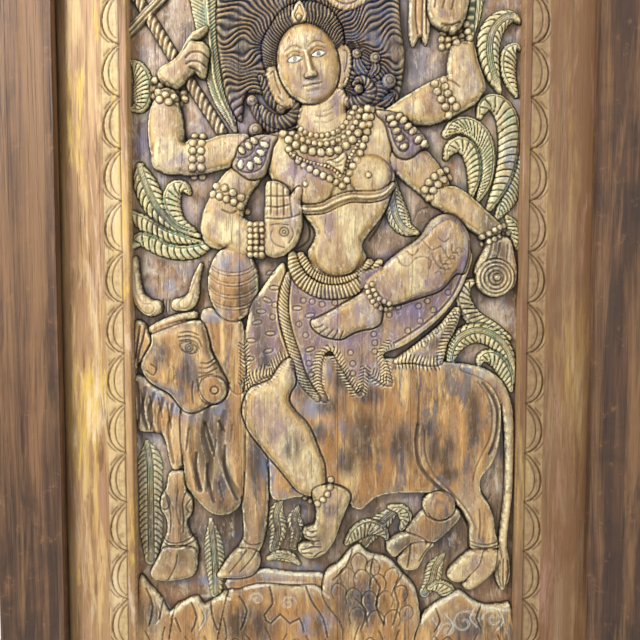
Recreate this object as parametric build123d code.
"""Carved temple door in its frame: a carved leaf on two iron pivots, a draw bolt and a pull ring.

Millimetres. X runs to the right seen from the front, Y to the back and Z up.
The origin is on the floor, in the middle of the frame's width and depth.
"""
from build123d import *
from math import cos, hypot, pi, sin
import os

# Driving sizes of the leaf
field_width = 700.0
field_height = 1640.0
stile_width = 135.0
rail_height = 135.0
leaf_thickness = 60.0
ground_depth = 26.0
plank_thickness = 18.0
tongue_length = 10.0
tongue_thickness = 9.0
seams = (-155.0, 22.0, 155.0)
seam_gap = 0.3
ledge_height = 110.0
ledge_shares = (0.122, 0.5, 0.878)
tenon_length = 85.0
tenon_thickness = 18.0
tenon_shoulder = 22.0
peg_radius = 6.0
peg_pitch = 45.0
peg_set_back = 60.0

# Driving sizes of the frame
jamb_width = 100.0
lintel_height = 120.0
threshold_height = 70.0
lip_thickness = 23.0
lip_overlap = 12.0
fixing_radius = 5.5
fixing_levels = (300.0, 1050.0, 1800.0)
frame_tenon_length = 45.0
frame_tenon_width = 60.0
frame_tenon_thickness = 30.0
frame_peg_pitch = 30.0

# Running gaps and fits
leaf_gap = 3.0
sill_gap = 5.0
pivot_clearance = 0.05
slide_clearance = 0.1
eye_clearance = 0.05
seat_gap = 0.3
groove_clearance = 0.3

# Ironwork
pivot_radius = 12.0
pivot_in_leaf = 70.0
pivot_in_socket = 32.0
socket_side = 56.0
socket_depth = 42.0
washer_radius = 24.0
iron_depth = 26.0
bolt_radius = 8.0
bolt_length = 235.0
bolt_set_back = 2.0
bolt_knob_radius = 7.0
bolt_knob_set_back = 125.0
guide_width = 22.0
guide_height = 36.0
guide_spacing = 130.0
guide_set_back = 23.0
keeper_width = 44.0
keeper_set_back = 4.0
keeper_clearance = 1.0
flange_height = 66.0
plate_thickness = 4.0
ring_drop = 170.0
ring_radius = 42.0
ring_wire = 5.5
bow_facets = 16
ring_plate_side = 84.0
ring_stand = 16.0
eye_width = 24.0
eye_radius = 10.0
nail_half = 2.5
nail_head_half = 6.0
nail_head_height = 2.5
nail_depth = 12.0
nail_edge = 10.0

# The border cut into the stiles and rails, its petals as shares of their pitch and of the band
border_fillet = 14.0
border_width = 31.0
border_depth = 3.0
border_petals_high = 18
border_petals_wide = 8
border_start = 30.0
petal_outline = ((0.0, 0.0), (0.1, 0.36), (0.24, 0.72), (0.46, 1.0), (0.72, 0.92), (0.92, 0.55), (0.99, 0.0))

# The drawing of the carving was made on a field of this size
drawn_width = 700.0
drawn_height = 1640.0
carving_sink = 5.0
low_relief = 15.0

# Sizes that follow from those above
leaf_width = field_width + 2 * stile_width
leaf_height = field_height + 2 * rail_height
leaf_front = -leaf_thickness / 2
leaf_back = leaf_thickness / 2
leaf_bottom = threshold_height + sill_gap
leaf_top = leaf_bottom + leaf_height
field_bottom = leaf_bottom + rail_height
field_top = field_bottom + field_height
ground = leaf_front + ground_depth
plank_back = ground + plank_thickness
ledge_levels = [share * field_height for share in ledge_shares]
tongue_front = ground + (plank_thickness - tongue_thickness) / 2
frame_back = leaf_back
lip_back = leaf_front - leaf_gap
frame_front = lip_back - lip_thickness
iron_back = leaf_back + iron_depth
opening_top = leaf_top + sill_gap
frame_height = opening_top + lintel_height
half_field = field_width / 2
half_leaf = leaf_width / 2
half_opening = half_leaf + leaf_gap
half_frame = half_opening + jamb_width
half_clear = half_leaf - lip_overlap
jamb_middle = half_opening + jamb_width / 2
joint_y = (frame_front + frame_back) / 2
pivot_x = -half_leaf + leaf_thickness / 2
bolt_y = leaf_back + iron_depth / 2
bolt_z = field_bottom + ledge_levels[1]
bolt_tip = half_leaf - bolt_set_back
guide_places = (half_leaf - guide_set_back, half_leaf - guide_set_back - guide_spacing)
keeper_x = half_opening + keeper_set_back + keeper_width / 2
ring_x = half_field + stile_width / 2
ring_y = leaf_back + ring_stand
ring_z = bolt_z - ring_drop


def block(x, y, z):
    """A squared block between two values on each axis."""
    size = Box(x[1] - x[0], y[1] - y[0], z[1] - z[0])
    return Pos((x[0] + x[1]) / 2, (y[0] + y[1]) / 2, (z[0] + z[1]) / 2) * size


def rod_x(radius, start, end, y, z):
    """A round bar along X."""
    return Pos((start + end) / 2, y, z) * Rot(0, 90, 0) * Cylinder(radius, end - start)


def rod_y(radius, start, end, x, z):
    """A round bar along Y."""
    return Pos(x, (start + end) / 2, z) * Rot(90, 0, 0) * Cylinder(radius, end - start)


def rod_z(radius, start, end, x, y):
    """A round bar along Z."""
    return Pos(x, y, (start + end) / 2) * Cylinder(radius, end - start)


# The carved forms, drawn flat on the field with X across, Z up from its lower edge and a height

def polygon(points, height):
    return Wire.make_polygon([Vector(x, z, height) for x, z in points], close=True)


def is_flat(a, b, c, d):
    across = (b - a).cross(c - a)
    return abs((d - a).dot(across)) < 1e-6 * max(across.length, 1e-9)


def faceted(rings):
    """A closed solid whose flat faces join each ring of points to the next one up."""
    levels = [[Vector(x, z, height) for x, z in points] for points, height in rings]
    faces = [Face(polygon(*rings[0])), Face(polygon(*rings[-1]))]
    for low, high in zip(levels, levels[1:]):
        for i in range(len(low)):
            a, b, c, d = low[i - 1], low[i], high[i], high[i - 1]
            sides = [(a, b, c, d)] if is_flat(a, b, c, d) else [(a, b, c), (a, c, d)]
            faces += [Face(Wire.make_polygon(list(side), close=True)) for side in sides]
    return Solid(Shell(faces))


def inset(points, amount):
    """The outline moved inwards by the amount, with its sharp corners held back."""
    area = sum(a[0] * b[1] - b[0] * a[1] for a, b in zip(points, points[1:] + points[:1]))
    turn = 1 if area > 0 else -1
    moved = []
    for i, (x, z) in enumerate(points):
        before, after = points[i - 1], points[(i + 1) % len(points)]
        normals = []
        for start, end in ((before, (x, z)), ((x, z), after)):
            length = hypot(end[0] - start[0], end[1] - start[1])
            across, along = end[0] - start[0], end[1] - start[1]
            normals.append((-turn * along / length, turn * across / length))
        (ax, az), (bx, bz) = normals
        share = amount / max(1 + ax * bx + az * bz, 0.7)
        moved.append((x + share * (ax + bx), z + share * (az + bz)))
    return moved


def spread(points):
    return [(x * field_width / drawn_width, z * field_height / drawn_height) for x, z in points]


def mass(points, height, bevel=5.0):
    """A raised form with a flat top; a high one stands up straight before its edge slopes in."""
    outline = spread(points)
    foot = [(outline, -carving_sink)]
    if height > low_relief:
        foot.append((outline, height - bevel))
    return faceted(foot + [(inset(outline, bevel), height)])


def oval(x, z, half_width, half_height, tilt=0.0, sides=12):
    points = []
    for i in range(sides):
        a = 2 * pi * i / sides
        px, pz = half_width * cos(a), half_height * sin(a)
        points.append((x + px * cos(tilt) - pz * sin(tilt), z + px * sin(tilt) + pz * cos(tilt)))
    return points


def dome(x, z, half_width, half_height, height, tilt=0.0, sides=12):
    """A raised oval that rounds over in three steps."""
    rings = []
    for share, rise in ((1.0, -carving_sink), (1.0, height * 0.35), (0.82, height * 0.75), (0.45, height)):
        points = oval(x, z, share * half_width, share * half_height, tilt, sides)
        rings.append((spread(points), rise))
    return faceted(rings)


def band_outline(stations, share):
    """The outline of a limb from its centre line, each station with its half width."""
    left, right = [], []
    for i, (x, z, reach) in enumerate(stations):
        before, after = stations[max(i - 1, 0)], stations[min(i + 1, len(stations) - 1)]
        length = hypot(after[0] - before[0], after[1] - before[1])
        ax, az = (after[0] - before[0]) / length, (after[1] - before[1]) / length
        step = reach * share
        left.append((x - az * step, z + ax * step))
        right.append((x + az * step, z - ax * step))
        if i in (0, len(stations) - 1):
            push = -0.7 * step if i == 0 else 0.7 * step
            for side in (left, right):
                ex, ez = side[-1]
                corner = (x + (ex - x) * 0.6 + ax * push, z + (ez - z) * 0.6 + az * push)
                side.insert(0, corner) if i == 0 else side.append(corner)
    return left + right[::-1]


def band(height, *stations):
    """A limb, strap or stem with sloped shoulders along its centre line."""
    wide = spread(band_outline(stations, 1.0))
    foot = [(wide, -carving_sink)]
    if height > low_relief:
        foot.append((wide, height * 0.5))
    return faceted(foot + [(spread(band_outline(stations, 0.45)), height)])


def turned(x, z, *steps):
    """Many sided discs one on another, each with its radius and height."""
    return [faceted([(spread(oval(x, z, reach, reach)), -carving_sink),
                     (spread(oval(x, z, reach, reach)), rise)]) for reach, rise in steps]


def ball(x, z, reach, height):
    """A round boss."""
    return dome(x, z, reach, reach, height, sides=10)


def figure():
    """The seated four armed figure."""
    hair = mass([(-152, 1176), (-178, 1222), (-188, 1278), (-194, 1340), (-190, 1410), (-165, 1478),
                 (-118, 1527), (-60, 1552), (0, 1552), (58, 1522), (100, 1478), (126, 1420), (132, 1339),
                 (141, 1300), (137, 1249), (122, 1206), (60, 1198), (-60, 1212), (-140, 1228)], 9, 3)
    torso = mass([(-113, 1149), (-104, 1112), (-88, 1072), (-46, 1030), (-40, 1008), (-18, 980), (-31, 938),
                  (-20, 914), (20, 898), (60, 912), (73, 938), (70, 964), (106, 1014), (122, 1062),
                  (126, 1120), (123, 1190), (60, 1200), (45, 1168), (-44, 1160)], 19)
    return [
        hair,
        torso,
        mass([(-44, 1202), (-47, 1160), (50, 1168), (42, 1208)], 17),
        dome(-31, 1275, 57, 73, 28, tilt=0.2, sides=18),
        mass([(-102, 1268), (-86, 1270), (-64, 1219), (-58, 1208), (-70, 1208), (-86, 1228)], 12, 3),
        mass([(27, 1304), (42, 1306), (43, 1250), (33, 1233), (25, 1232)], 12, 3),
        band(18, (-101, 1290, 7), (-98, 1318, 11), (-80, 1344, 14), (-45, 1360, 15), (-8, 1366, 15),
             (12, 1350, 12), (26, 1320, 7)),
        mass([(-53, 1342), (-50, 1364), (-45, 1380), (-39, 1362), (-39, 1342)], 21, 3),
        *turned(-70, 1190, (27, 13), (12, 17)),
        *turned(52, 1231, (25, 13), (11, 17)),
        ball(61, 1294, 12, 16),
        ball(85, 1287, 9, 14),
        ball(114, 1238, 14, 16),
        ball(-129, 1165, 14, 15),
        ball(-14, 1056, 34, 28),
        ball(79, 1074, 36, 29),
        dome(22, 952, 42, 50, 25),
        band(24, (-42, 1020, 6), (-12, 1017, 6), (24, 1036, 6), (72, 1040, 6), (104, 1044, 6),
             (118, 1060, 5)),
        band(23, (-46, 1151, 6), (-17, 1140, 6), (13, 1142, 6), (38, 1155, 6), (54, 1179, 6), (61, 1191, 5)),
        band(24, (-74, 1149, 6), (-53, 1131, 6), (-22, 1120, 6), (18, 1127, 6), (54, 1155, 6), (79, 1196, 5)),
        band(25, (-74, 1134, 6), (-53, 1112, 6), (-15, 1090, 6), (12, 1077, 6), (32, 1053, 6)),
        band(25, (34, 1062, 5), (40, 1092, 6), (60, 1125, 6), (81, 1174, 5)),
    ]


def arms():
    """The four arms with their armlets and shoulder pieces."""
    return [
        mass([(-298, 1258), (-278, 1278), (-253, 1308), (-227, 1335), (-208, 1338), (-218, 1320),
              (-207, 1299), (-210, 1270), (-219, 1252), (-240, 1256), (-268, 1232), (-292, 1242)], 20),
        band(21, (-286, 1224, 25), (-288, 1195, 29), (-285, 1145, 31), (-284, 1116, 27)),
        band(22, (-292, 1110, 24), (-254, 1110, 27), (-212, 1114, 30), (-160, 1130, 24)),
        band(25, (-229, 1150, 9), (-230, 1080, 9)),
        band(24, (-307, 1236, 8), (-284, 1222, 9), (-257, 1220, 8)),
        mass([(-174, 1106), (-152, 1132), (-113, 1149), (-86, 1144), (-99, 1097), (-131, 1072),
              (-158, 1078)], 23),
        band(21, (-146, 1080, 30), (-168, 1044, 31), (-186, 1006, 30)),
        band(22, (-192, 992, 30), (-168, 980, 33), (-134, 964, 28)),
        band(25, (-198, 1052, 8), (-168, 1042, 9), (-142, 1022, 8)),
        band(25, (-124, 992, 12), (-124, 934, 12)),
        mass([(-110, 1002), (-110, 950), (-100, 934), (-80, 936), (-60, 950), (-45, 978), (-43, 1008)], 26),
        *[band(26, (x, 995, 5.5), (x, z, 5.5))
          for x, z in ((-101, 1064), (-90, 1067), (-79, 1063), (-68, 1050))],
        band(25, (-50, 1000, 7), (-54, 1030, 7), (-46, 1052, 6)),
        band(21, (136, 1192, 18), (165, 1196, 30), (208, 1214, 32), (250, 1238, 30)),
        band(21, (256, 1240, 28), (248, 1275, 26), (240, 1308, 22)),
        band(24, (198, 1240, 8), (210, 1210, 9), (222, 1182, 8)),
        band(24, (210, 1314, 9), (232, 1322, 10), (256, 1326, 9)),
        mass([(196, 1344), (184, 1376), (190, 1412), (222, 1428), (252, 1414), (258, 1376), (246, 1345),
              (224, 1338)], 20),
        mass([(92, 1192), (104, 1172), (118, 1130), (141, 1106), (164, 1120), (188, 1128), (168, 1158),
              (124, 1190)], 23),
        band(21, (146, 1112, 36), (170, 1090, 34), (196, 1064, 28)),
        band(22, (212, 1036, 26), (245, 1021, 26), (284, 990, 24), (306, 970, 21)),
        band(25, (180, 1048, 9), (198, 1066, 10), (218, 1082, 9)),
        band(25, (288, 958, 9), (304, 972, 9), (324, 980, 8)),
        mass([(294, 950), (274, 918), (290, 880), (330, 860), (344, 900), (336, 962), (314, 964)], 18),
        *turned(307, 896, (33, 20), (23, 23), (12, 26)),
    ]


def seat_and_legs():
    """The skirt, its bands and flaps, and the two legs."""
    return [
        mass([(-70, 905), (-78, 840), (-64, 780), (-48, 722), (-12, 678), (6, 674), (-8, 715), (-6, 762),
              (20, 746), (44, 706), (64, 682), (68, 728), (112, 704), (110, 756), (150, 776), (217, 832),
              (254, 892), (262, 950), (180, 970), (104, 916), (60, 872), (-20, 868)], 13, 3),
        mass([(-78, 920), (-104, 896), (-130, 858), (-142, 800), (-143, 740), (-146, 694), (-112, 714),
              (-80, 736), (-60, 762), (-76, 802), (-84, 850), (-76, 900)], 12, 3),
        band(20, (-42, 934, 8), (-22, 904, 9), (22, 892, 9), (60, 906, 9), (80, 930, 7)),
        band(22, (-58, 932, 10), (-46, 896, 12), (-8, 872, 12), (28, 871, 12), (66, 886, 12), (94, 918, 9)),
        band(20, (-68, 899, 7), (-75, 845, 7), (-66, 790, 7), (-50, 738, 7), (-26, 690, 6)),
        mass([(72, 884), (98, 914), (134, 942), (169, 967), (205, 996), (232, 1001), (252, 978), (256, 937),
              (240, 905), (205, 875), (163, 862), (120, 846), (84, 850)], 26, 9),
        ball(212, 948, 40, 30),
        mass([(-24, 812), (30, 849), (74, 884), (92, 852), (103, 830), (96, 812), (66, 801), (34, 785),
              (8, 785), (-12, 794)], 22),
        band(26, (74, 884, 6), (84, 862, 7), (98, 846, 7), (116, 844, 6)),
        mass([(236, 842), (247, 834), (236, 804), (223, 774), (214, 738), (170, 738), (124, 742),
              (160, 770), (206, 808)], 14, 3),
        band(27, (-104, 708, 38), (-106, 672, 44), (-98, 635, 45), (-78, 595, 43), (-54, 558, 37),
             (-32, 525, 26), (-22, 508, 14)),
        mass([(-6, 522), (20, 516), (40, 502), (40, 478), (26, 438), (12, 402), (-6, 390), (-24, 376),
              (-40, 380), (-47, 394), (-38, 426), (-20, 446), (-16, 470), (-20, 486)], 24),
        band(27, (-34, 486, 8), (-12, 484, 8), (4, 500, 8), (10, 520, 7)),
    ]


def bull():
    """The standing bull under the figure."""
    body = mass([(-150, 800), (-60, 760), (120, 745), (245, 738), (284, 722), (304, 694), (319, 655),
                 (321, 610), (304, 566), (284, 524), (262, 496), (216, 500), (116, 496), (90, 488), (68, 470),
                 (40, 480), (-40, 492), (-98, 488), (-108, 560), (-155, 640)], 11, 6)
    head = mass([(-228, 818), (-212, 785), (-208, 764), (-190, 730), (-177, 700), (-184, 678), (-214, 664),
                 (-240, 650), (-262, 658), (-286, 690), (-325, 705), (-337, 738), (-318, 776), (-316, 797),
                 (-284, 812)], 22, 8)
    return [
        body,
        mass([(-228, 822), (-205, 834), (-152, 812), (-146, 700), (-152, 560), (-262, 560), (-262, 660)], 13),
        dome(-168, 886, 45, 66, 18),
        head,
        dome(-243, 774, 20, 13, 25),
        ball(-204, 694, 24, 27),
        band(13, (-312, 806, 7), (-284, 820, 8), (-246, 828, 6)),
        mass([(-349, 812), (-322, 806), (-318, 790), (-326, 766), (-344, 742), (-349, 722)], 10, 3),
        band(14, (-343, 918, 6), (-344, 880, 8), (-334, 850, 12), (-314, 838, 14)),
        band(14, (-232, 916, 6), (-243, 880, 8), (-250, 858, 12), (-270, 846, 12)),
        mass([(-349, 716), (-310, 694), (-266, 664), (-266, 545), (-288, 536), (-298, 602), (-320, 612),
              (-346, 622)], 10, 3),
        mass([(-262, 600), (-260, 530), (-246, 496), (-218, 462), (-190, 455), (-162, 468), (-152, 500),
              (-150, 600)], 17),
        band(14, (-283, 520, 21), (-282, 460, 21), (-280, 410, 20)),
        band(14, (-136, 560, 24), (-130, 480, 22), (-132, 420, 19), (-150, 385, 18)),
        dome(-300, 358, 20, 21, 17),
        dome(-263, 361, 18, 21, 17),
        mass([(-200, 340), (-172, 384), (-122, 384), (-124, 352), (-140, 338)], 15),
        mass([(248, 505), (290, 530), (302, 480), (312, 440), (313, 398), (274, 398), (266, 440)], 13),
        mass([(270, 388), (232, 342), (252, 333), (270, 342), (288, 374), (284, 388)], 16),
        mass([(290, 386), (260, 326), (272, 320), (302, 331), (318, 348), (318, 378), (308, 388)], 16),
        dome(211, 476, 28, 26, 16),
        mass([(246, 452), (200, 403), (160, 404), (148, 420), (182, 462)], 12),
        mass([(152, 408), (116, 404), (115, 388), (128, 377), (152, 392)], 14),
        mass([(158, 404), (134, 374), (150, 354), (170, 353), (184, 384), (198, 400)], 15),
        band(12, (250, 730, 6), (292, 708, 7), (318, 668, 7), (329, 615, 7), (334, 555, 7), (332, 490, 7),
             (326, 430, 7), (332, 385, 7)),
        dome(333, 352, 13, 28, 12),
    ]


def foliage():
    """Scrolling leaves, the feather, the staff and the plants between the legs."""
    return [
        band(10, (-345, 1410, 10), (-313, 1359, 10), (-230, 1227, 10), (-190, 1162, 9)),
        mass([(-228, 1358), (-216, 1250), (-200, 1198), (-174, 1158), (-156, 1162), (-182, 1226),
              (-192, 1299), (-196, 1383), (-205, 1500), (-232, 1560), (-248, 1500), (-246, 1400)], 6, 2),
        band(9, (-346, 1336, 7), (-304, 1378, 8), (-268, 1416, 8)),
        mass([(-349, 1285), (-324, 1278), (-312, 1250), (-313, 1219), (-322, 1194), (-349, 1197)], 7, 2),
        band(8, (-320, 1084, 6), (-322, 1055, 12), (-306, 1024, 14), (-284, 997, 12), (-252, 978, 7)),
        band(10, (-282, 1010, 7), (-286, 1040, 12), (-272, 1064, 9), (-254, 1058, 5)),
        band(8, (-342, 1010, 7), (-316, 992, 12), (-288, 966, 13), (-256, 954, 10), (-224, 962, 5)),
        band(8, (-340, 960, 8), (-308, 950, 11), (-276, 940, 11), (-243, 942, 9), (-214, 952, 4)),
        band(10, (312, 1244, 7), (297, 1278, 14), (292, 1312, 16), (298, 1344, 15), (314, 1361, 10),
             (334, 1364, 7)),
        band(7, (268, 1440, 7), (262, 1380, 7), (262, 1308, 6)),
        band(8, (332, 1300, 13), (335, 1262, 10), (337, 1224, 6)),
        band(10, (282, 1196, 6), (294, 1210, 11), (314, 1204, 15), (330, 1176, 17), (334, 1138, 16),
             (326, 1098, 14), (311, 1058, 11), (302, 1026, 6)),
        band(11, (223, 1148, 6), (234, 1166, 10), (255, 1172, 12), (276, 1158, 13), (288, 1130, 12),
             (291, 1095, 11), (286, 1058, 8)),
        band(12, (221, 1102, 7), (228, 1122, 10), (245, 1130, 12), (261, 1115, 11), (268, 1085, 10),
             (269, 1058, 6)),
        band(8, (326, 1022, 7), (338, 1046, 13), (348, 1078, 5)),
        band(8, (142, 988, 12), (130, 1015, 15), (122, 1050, 10), (120, 1086, 4)),
        band(9, (270, 886, 7), (256, 878, 8), (252, 855, 8), (263, 833, 10), (286, 820, 10), (312, 803, 8)),
        band(9, (229, 747, 8), (236, 775, 12), (256, 795, 13), (286, 795, 15), (314, 775, 14),
             (331, 740, 10), (337, 705, 5)),
        band(8, (288, 740, 7), (299, 755, 9), (318, 746, 9), (332, 718, 7)),
        band(6, (-326, 590, 14), (-326, 470, 19), (-328, 400, 20), (-332, 352, 14)),
        band(6, (-214, 450, 18), (-216, 400, 20), (-206, 345, 8)),
        band(6, (-86, 476, 17), (-84, 420, 16), (-62, 396, 10), (-46, 372, 8)),
        band(6, (-52, 460, 18), (-58, 425, 13), (-56, 404, 7)),
        band(6, (84, 410, 9), (104, 440, 24), (132, 482, 16), (146, 498, 6)),
        band(6, (206, 322, 10), (214, 352, 20), (226, 386, 12), (232, 402, 5)),
    ]


def rocks_and_corners():
    """The rocks under the bull, the plain petals at the foot and the scrolls in the upper corners."""
    petals = [mass([(x - 40, 28), (x - 42, 76), (x - 24, 108), (x, 122), (x + 24, 108), (x + 42, 76),
                    (x + 40, 28)], 14) for x in (-301, -215, -129, -43, 43, 129, 215, 301)]
    scrolls = []
    for side in (-1, 1):
        scrolls += [
            band(9, (side * 328, 1440, 6), (side * 330, 1490, 11), (side * 312, 1545, 15),
                 (side * 270, 1588, 15), (side * 215, 1606, 11), (side * 165, 1604, 6)),
            band(9, (side * 290, 1470, 6), (side * 284, 1510, 11), (side * 258, 1540, 11),
                 (side * 226, 1546, 6)),
            *turned(side * 318, 1604, (16, 9), (8, 12)),
        ]
    return petals + scrolls + [
        mass([(-349, 324), (-322, 318), (-300, 292), (-282, 262), (-284, 200), (-296, 144), (-349, 144)], 11),
        mass([(-268, 276), (-240, 296), (-232, 284), (-200, 292), (-186, 250), (-190, 144), (-280, 144)], 12),
        mass([(-162, 314), (-120, 328), (-24, 322), (-8, 296), (22, 262), (36, 226), (30, 144),
              (-176, 144)], 13),
        mass([(0, 330), (6, 356), (44, 394), (62, 402), (82, 382), (114, 374), (142, 348), (160, 310),
              (166, 250), (160, 144), (46, 144), (40, 240), (8, 296)], 13),
        mass([(190, 262), (216, 288), (262, 310), (276, 288), (302, 270), (338, 262), (346, 230),
              (344, 144), (184, 144)], 12),
    ]


def carved_forms():
    return figure() + arms() + seat_and_legs() + bull() + foliage() + rocks_and_corners()


def plank_edges():
    return [-half_field] + [seam * field_width / drawn_width for seam in seams] + [half_field]


def ledge_nail_places():
    """Two nails across each plank, the same in every ledge."""
    edges = plank_edges()
    columns = [left + (right - left) * share for left, right in zip(edges, edges[1:])
               for share in (0.22, 0.78)]
    return [(x, field_bottom + level) for level in ledge_levels for x in columns]


def square_bar(x, z, half, front, back):
    return block((x - half, x + half), (front, back), (z - half, z + half))


def nails(places, seat, length):
    """Square forged nails driven from the back, their faceted heads on the seat."""
    made = []
    for x, z in places:
        rings = [([(-reach, -reach), (reach, -reach), (reach, reach), (-reach, reach)], rise)
                 for reach, rise in ((nail_head_half, 0), (nail_head_half / 2, nail_head_height))]
        head = Plane(origin=(x, seat, z), x_dir=(1, 0, 0), z_dir=(0, 1, 0)) * faceted(rings)
        made.append(square_bar(x, z, nail_half, seat - length, seat) + head)
    return made


def nail_holes(places, front, back):
    return [square_bar(x, z, nail_half, front, back) for x, z in places]


def pegs(places, front, back):
    """Wooden pegs shaved to eight sides, which also cut their own holes."""
    eight_sided = Rot(90, 0, 0) * extrude(RegularPolygon(peg_radius, 8), (back - front) / 2, both=True)
    return [Pos(x, (front + back) / 2, z) * eight_sided for x, z in places]


def carved_planks():
    """The planks of the field with the carving cut from their thickness, one solid each."""
    field = Plane(origin=(0, ground, field_bottom), x_dir=(1, 0, 0), z_dir=(0, -1, 0))
    forms = [(form.bounding_box(), form) for form in carved_forms()]
    edges = plank_edges()
    last = len(edges) - 2
    planks = []
    for i, (start, end) in enumerate(zip(edges, edges[1:])):
        left = start + (groove_clearance if i == 0 else seam_gap / 2)
        right = end - (groove_clearance if i == last else seam_gap / 2)
        span = (groove_clearance, field_height - groove_clearance)
        board = block((left, right), span, (-plank_thickness, 0))
        held = [form for box, form in forms if box.min.X < right and box.max.X > left]
        carved = field * ((board + held) & block((left, right), span, (-plank_thickness, leaf_thickness)))
        reach = (left - tongue_length if i == 0 else left, right + tongue_length if i == last else right)
        carved += block(reach, (tongue_front, tongue_front + tongue_thickness),
                        (field_bottom - tongue_length, field_top + tongue_length))
        nailed = [place for place in ledge_nail_places() if left < place[0] < right]
        planks.append(carved - nail_holes(nailed, plank_back - nail_depth, plank_back))
    return planks


def petal(start, pitch, side, edge, upright):
    """One petal of the border, leaning along it, from its junction on the fillet's line."""
    points = []
    for along, out in petal_outline:
        a, b = start - along * pitch, edge + side * out * (border_width - 1)
        points.append((b, a) if upright else (a, b))
    front = Plane(origin=(0, leaf_front + border_depth, 0), x_dir=(1, 0, 0), z_dir=(0, -1, 0))
    return front * faceted([(points, -border_depth), (points, border_depth)])


def mirrored(near, far, side):
    """The span between two distances from the middle, on the side given by its sign."""
    return (near, far) if side > 0 else (-far, -near)


def tenon_span(level):
    return (level + tenon_shoulder, level + rail_height - tenon_shoulder)


def leaf_peg_places(side):
    return [(side * (half_field + peg_set_back), level + rail_height / 2 + step * peg_pitch)
            for level in (leaf_bottom, field_top) for step in (-0.5, 0.5)]


def stile(side):
    """An upright of the leaf with its mortises, its groove for the planks and its carved border."""
    near = half_field
    far = half_leaf if side > 0 else -pivot_x
    body = block(mirrored(near, far, side), (leaf_front, leaf_back), (leaf_bottom, leaf_top))
    if side < 0:
        body += rod_z(leaf_thickness / 2, leaf_bottom, leaf_top, pivot_x, 0)
    cuts = [block(mirrored(near, near + tenon_length + seat_gap, side),
                  (-tenon_thickness / 2, tenon_thickness / 2), tenon_span(level))
            for level in (leaf_bottom, field_top)]
    cuts.append(block(mirrored(near, near + tongue_length, side),
                      (tongue_front, tongue_front + tongue_thickness),
                      (field_bottom - tongue_length, field_top + tongue_length)))
    inner = near + border_fillet
    outer = inner + border_width
    low, high = field_bottom - border_fillet - border_width, field_top + border_fillet + border_width
    floor = (leaf_front, leaf_front + border_depth)
    cuts.append(block(mirrored(inner, outer, side), floor, (low, high)))
    cuts.append(block(mirrored(near, inner, side), floor, (low, low + border_width)))
    cuts.append(block(mirrored(near, inner, side), floor, (high - border_width, high)))
    cuts += pegs(leaf_peg_places(side), leaf_front, leaf_back)
    if side < 0:
        cuts.append(rod_z(pivot_radius, leaf_bottom, leaf_bottom + pivot_in_leaf, pivot_x, 0))
        cuts.append(rod_z(pivot_radius, leaf_top - pivot_in_leaf, leaf_top, pivot_x, 0))
    else:
        cuts += nail_holes(guide_nail_places(guide_places[0]) + ring_nail_places(),
                           leaf_back - nail_depth, leaf_back)
    pitch = field_height / border_petals_high
    starts = [field_bottom + border_start + count * pitch for count in range(border_petals_high + 1)]
    petals = [petal(start, pitch, side, side * inner, True) for start in starts if start < high]
    return body - cuts + petals


def rail(level):
    """A cross rail of the leaf with a tenon at each end and its run of the carved border."""
    body = block((-half_field, half_field), (leaf_front, leaf_back), (level, level + rail_height))
    body += block((-half_field - tenon_length, half_field + tenon_length),
                  (-tenon_thickness / 2, tenon_thickness / 2), tenon_span(level))
    out = 1 if level == field_top else -1
    edge = field_top if out > 0 else field_bottom
    inner = edge + out * border_fillet
    cuts = [
        block((-half_field, half_field), (tongue_front, tongue_front + tongue_thickness),
              sorted((edge, edge + out * tongue_length))),
        block((-half_field, half_field), (leaf_front, leaf_front + border_depth),
              sorted((inner, inner + out * border_width))),
    ]
    cuts += pegs(leaf_peg_places(-1) + leaf_peg_places(1), leaf_front, leaf_back)
    pitch = field_width / border_petals_wide
    petals = [petal(-half_field + (count + 1) * pitch, pitch, out, inner, False)
              for count in range(border_petals_wide)]
    return body - cuts + petals


def ledge(level):
    """A batten nailed across the back of the planks, between the stiles."""
    z = field_bottom + level
    span = (z - ledge_height / 2, z + ledge_height / 2)
    bar = block((-half_field, half_field), (plank_back, leaf_back), span)
    cuts = nail_holes(ledge_nail_places(), plank_back, leaf_back)
    cuts += nail_holes(guide_nail_places(guide_places[1]), leaf_back - nail_depth, leaf_back)
    return bar - cuts


def frame_peg_places():
    seats = (threshold_height - frame_tenon_length / 2, opening_top + frame_tenon_length / 2)
    return [(side * jamb_middle + step * frame_peg_pitch, z) for side in (-1, 1) for z in seats
            for step in (-0.5, 0.5)]


def jamb_tenon(side, low, high):
    middle = side * jamb_middle
    return block((middle - frame_tenon_width / 2, middle + frame_tenon_width / 2),
                 (joint_y - frame_tenon_thickness / 2, joint_y + frame_tenon_thickness / 2), (low, high))


def jamb(side):
    """A post of the frame: a stop lip in front of the leaf, tenons at its ends, holes to fix it."""
    span = (threshold_height, opening_top)
    post = block(mirrored(half_opening, half_frame, side), (frame_front, frame_back), span)
    post += block(mirrored(half_clear, half_opening, side), (frame_front, lip_back), span)
    post += jamb_tenon(side, threshold_height - frame_tenon_length, opening_top + frame_tenon_length)
    cuts = pegs(frame_peg_places(), frame_front, frame_back)
    cuts += [rod_x(fixing_radius, *mirrored(half_opening, half_frame, side), 0, z) for z in fixing_levels]
    if side > 0:
        cuts += nail_holes(guide_nail_places(keeper_x), frame_back - nail_depth, frame_back)
    return post - cuts


def frame_mortises(low, high):
    return [jamb_tenon(side, low, high) for side in (-1, 1)]


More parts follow.
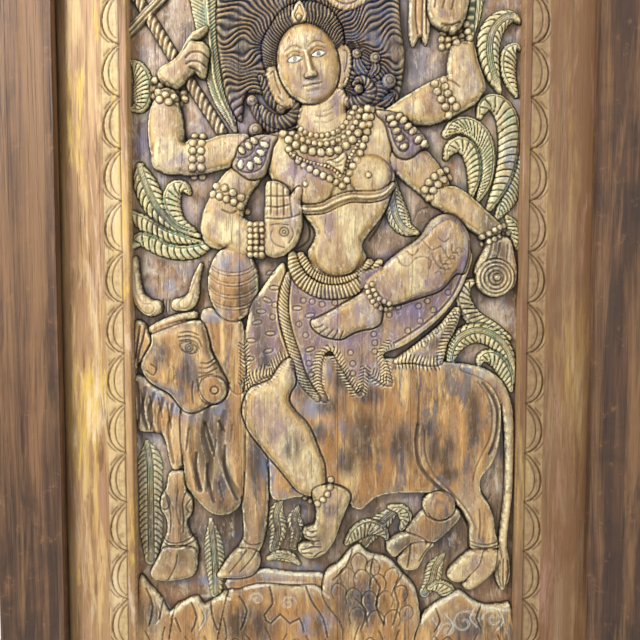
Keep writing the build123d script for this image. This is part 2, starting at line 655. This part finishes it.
def lintel():
    """The head of the frame with its stop lip, its mortises and the seat of the upper socket."""
    head = block((-half_frame, half_frame), (frame_front, frame_back), (opening_top, frame_height))
    head += block((-half_clear, half_clear), (frame_front, lip_back), (leaf_top - lip_overlap, opening_top))
    cuts = frame_mortises(opening_top, opening_top + frame_tenon_length + seat_gap)
    cuts += pegs(frame_peg_places(), frame_front, frame_back)
    cuts.append(socket_seat(opening_top, opening_top + socket_depth))
    return head - cuts


def threshold():
    """The sill of the frame, as deep behind the leaf as in front, with the lower socket let in."""
    sill = block((-half_frame, half_frame), (frame_front, iron_back), (0, threshold_height))
    sill += block((-half_clear, half_clear), (frame_front, lip_back),
                  (threshold_height, leaf_bottom + lip_overlap))
    cuts = frame_mortises(threshold_height - frame_tenon_length - seat_gap, threshold_height)
    cuts += pegs(frame_peg_places(), frame_front, frame_back)
    cuts.append(socket_seat(threshold_height - socket_depth, threshold_height))
    return sill - cuts


def socket_seat(low, high):
    half = socket_side / 2
    return block((pivot_x - half, pivot_x + half), (-half, half), (low, high))


def pivot_sockets():
    """Iron blocks let into the lintel and the sill, each bored for a pivot pin."""
    bore = pivot_radius + pivot_clearance
    top = socket_seat(opening_top, opening_top + socket_depth)
    top -= rod_z(bore, opening_top, opening_top + pivot_in_socket + seat_gap, pivot_x, 0)
    bottom = socket_seat(threshold_height - socket_depth, threshold_height)
    bottom -= rod_z(bore, threshold_height - pivot_in_socket - seat_gap, threshold_height, pivot_x, 0)
    return top, bottom


def pivot_pins():
    """The pins driven into the ends of the hinge stile."""
    top = rod_z(pivot_radius, leaf_top - pivot_in_leaf, opening_top + pivot_in_socket, pivot_x, 0)
    bottom = rod_z(pivot_radius, threshold_height - pivot_in_socket, leaf_bottom + pivot_in_leaf, pivot_x, 0)
    return top, bottom


def thrust_washer():
    """The collar on the lower pin that carries the leaf on its socket."""
    low = threshold_height + seat_gap
    collar = Pos(pivot_x, 0, low) * extrude(RegularPolygon(washer_radius, 8), leaf_bottom - low)
    return collar - rod_z(pivot_radius, low, leaf_bottom, pivot_x, 0)


def guide_nail_places(x):
    """A nail above and one below a bolt guide or the keeper."""
    reach = flange_height / 2 - nail_edge
    return [(x, bolt_z - reach), (x, bolt_z + reach)]


def bolt_holder(x, width):
    """An iron block on a nailed flange, before its hole is made."""
    xs = (x - width / 2, x + width / 2)
    body = block(xs, (leaf_back, leaf_back + plate_thickness),
                 (bolt_z - flange_height / 2, bolt_z + flange_height / 2))
    half = guide_height / 2 - plate_thickness
    body += block(xs, (leaf_back, iron_back), (bolt_z - half, bolt_z + half))
    return body - nail_holes(guide_nail_places(x), leaf_back, leaf_back + plate_thickness)


def bolt_guide(x):
    """A guide bored for the bolt to slide in."""
    ends = (x - guide_width / 2, x + guide_width / 2)
    return bolt_holder(x, guide_width) - rod_x(bolt_radius + slide_clearance, *ends, bolt_y, bolt_z)


def bolt_keeper():
    """The keeper on the frame, with a square hole that receives the bolt."""
    ends = (keeper_x - keeper_width / 2, keeper_x + keeper_width / 2)
    half = bolt_radius + keeper_clearance
    hole = block(ends, (bolt_y - half, bolt_y + half), (bolt_z - half, bolt_z + half))
    return bolt_holder(keeper_x, keeper_width) - hole


def draw_bolt():
    """The sliding bar with its knob, drawn back so that the leaf is free."""
    bar = rod_x(bolt_radius, bolt_tip - bolt_length, bolt_tip, bolt_y, bolt_z)
    return bar + rod_y(bolt_knob_radius, bolt_y, iron_back, bolt_tip - bolt_knob_set_back, bolt_z)


def ring_nail_places():
    reach = ring_plate_side / 2 - nail_edge
    return [(ring_x + dx * reach, ring_z + dz * reach) for dx in (-1, 1) for dz in (-1, 1)]


def ring_plate():
    """The plate of the pull ring with the barrel that its bar turns in."""
    half = ring_plate_side / 2
    plate = block((ring_x - half, ring_x + half), (leaf_back, leaf_back + plate_thickness),
                  (ring_z - half, ring_z + half))
    eye = (ring_x - eye_width / 2, ring_x + eye_width / 2)
    plate += block(eye, (leaf_back, ring_y), (ring_z - eye_radius, ring_z + eye_radius))
    plate += rod_x(eye_radius, *eye, ring_y, ring_z)
    plate -= rod_x(ring_wire + eye_clearance, *eye, ring_y, ring_z)
    return plate - nail_holes(ring_nail_places(), leaf_back, leaf_back + plate_thickness)


def pull_ring():
    """A forged bow of eight sided section under a round bar, hanging from the barrel."""
    bar = rod_x(ring_wire, ring_x - ring_radius - ring_wire, ring_x + ring_radius + ring_wire,
                ring_y, ring_z)
    corners = [pi * count / bow_facets for count in range(bow_facets + 1)]
    line = Polyline(*[(ring_x - ring_radius * cos(a), ring_y, ring_z - ring_radius * sin(a)) for a in corners])
    section = Plane(origin=line @ 0, z_dir=line % 0) * RegularPolygon(ring_wire, 8, rotation=22.5)
    return sweep(section, path=line, transition=Transition.RIGHT) + bar


def iron_nails():
    """The nails of the bolt guides and the ring plate."""
    seat = leaf_back + plate_thickness
    places = guide_nail_places(guide_places[0]) + guide_nail_places(guide_places[1]) + ring_nail_places()
    return nails(places, seat, nail_depth + plate_thickness)


def build():
    top_socket, bottom_socket = pivot_sockets()
    top_pin, bottom_pin = pivot_pins()
    parts = {
        "left_jamb": jamb(-1),
        "right_jamb": jamb(1),
        "lintel": lintel(),
        "threshold": threshold(),
        "frame_pegs": pegs(frame_peg_places(), frame_front, frame_back),
        "top_pivot_socket": top_socket,
        "bottom_pivot_socket": bottom_socket,
        "bolt_keeper": bolt_keeper(),
        "keeper_nails": nails(guide_nail_places(keeper_x), leaf_back + plate_thickness,
                              nail_depth + plate_thickness),
        "hinge_stile": stile(-1),
        "lock_stile": stile(1),
        "bottom_rail": rail(leaf_bottom),
        "top_rail": rail(field_top),
        "leaf_pegs": pegs(leaf_peg_places(-1) + leaf_peg_places(1), leaf_front, leaf_back),
        "lower_ledge": ledge(ledge_levels[0]),
        "middle_ledge": ledge(ledge_levels[1]),
        "upper_ledge": ledge(ledge_levels[2]),
        "ledge_nails": nails(ledge_nail_places(), leaf_back, leaf_back - plank_back + nail_depth),
        "top_pivot_pin": top_pin,
        "bottom_pivot_pin": bottom_pin,
        "thrust_washer": thrust_washer(),
        "outer_bolt_guide": bolt_guide(guide_places[0]),
        "inner_bolt_guide": bolt_guide(guide_places[1]),
        "ring_plate": ring_plate(),
        "iron_nails": iron_nails(),
        "draw_bolt": draw_bolt(),
        "pull_ring": pull_ring(),
    }
    for number, plank in enumerate(carved_planks(), 1):
        parts["carved_plank_%d" % number] = plank
    return parts


os.makedirs("parts", exist_ok=True)
for name, shape in build().items():
    if isinstance(shape, list):
        shape = Compound(children=[Solid(item.solid().wrapped) for item in shape])
    export_step(shape, "parts/%s.step" % name)
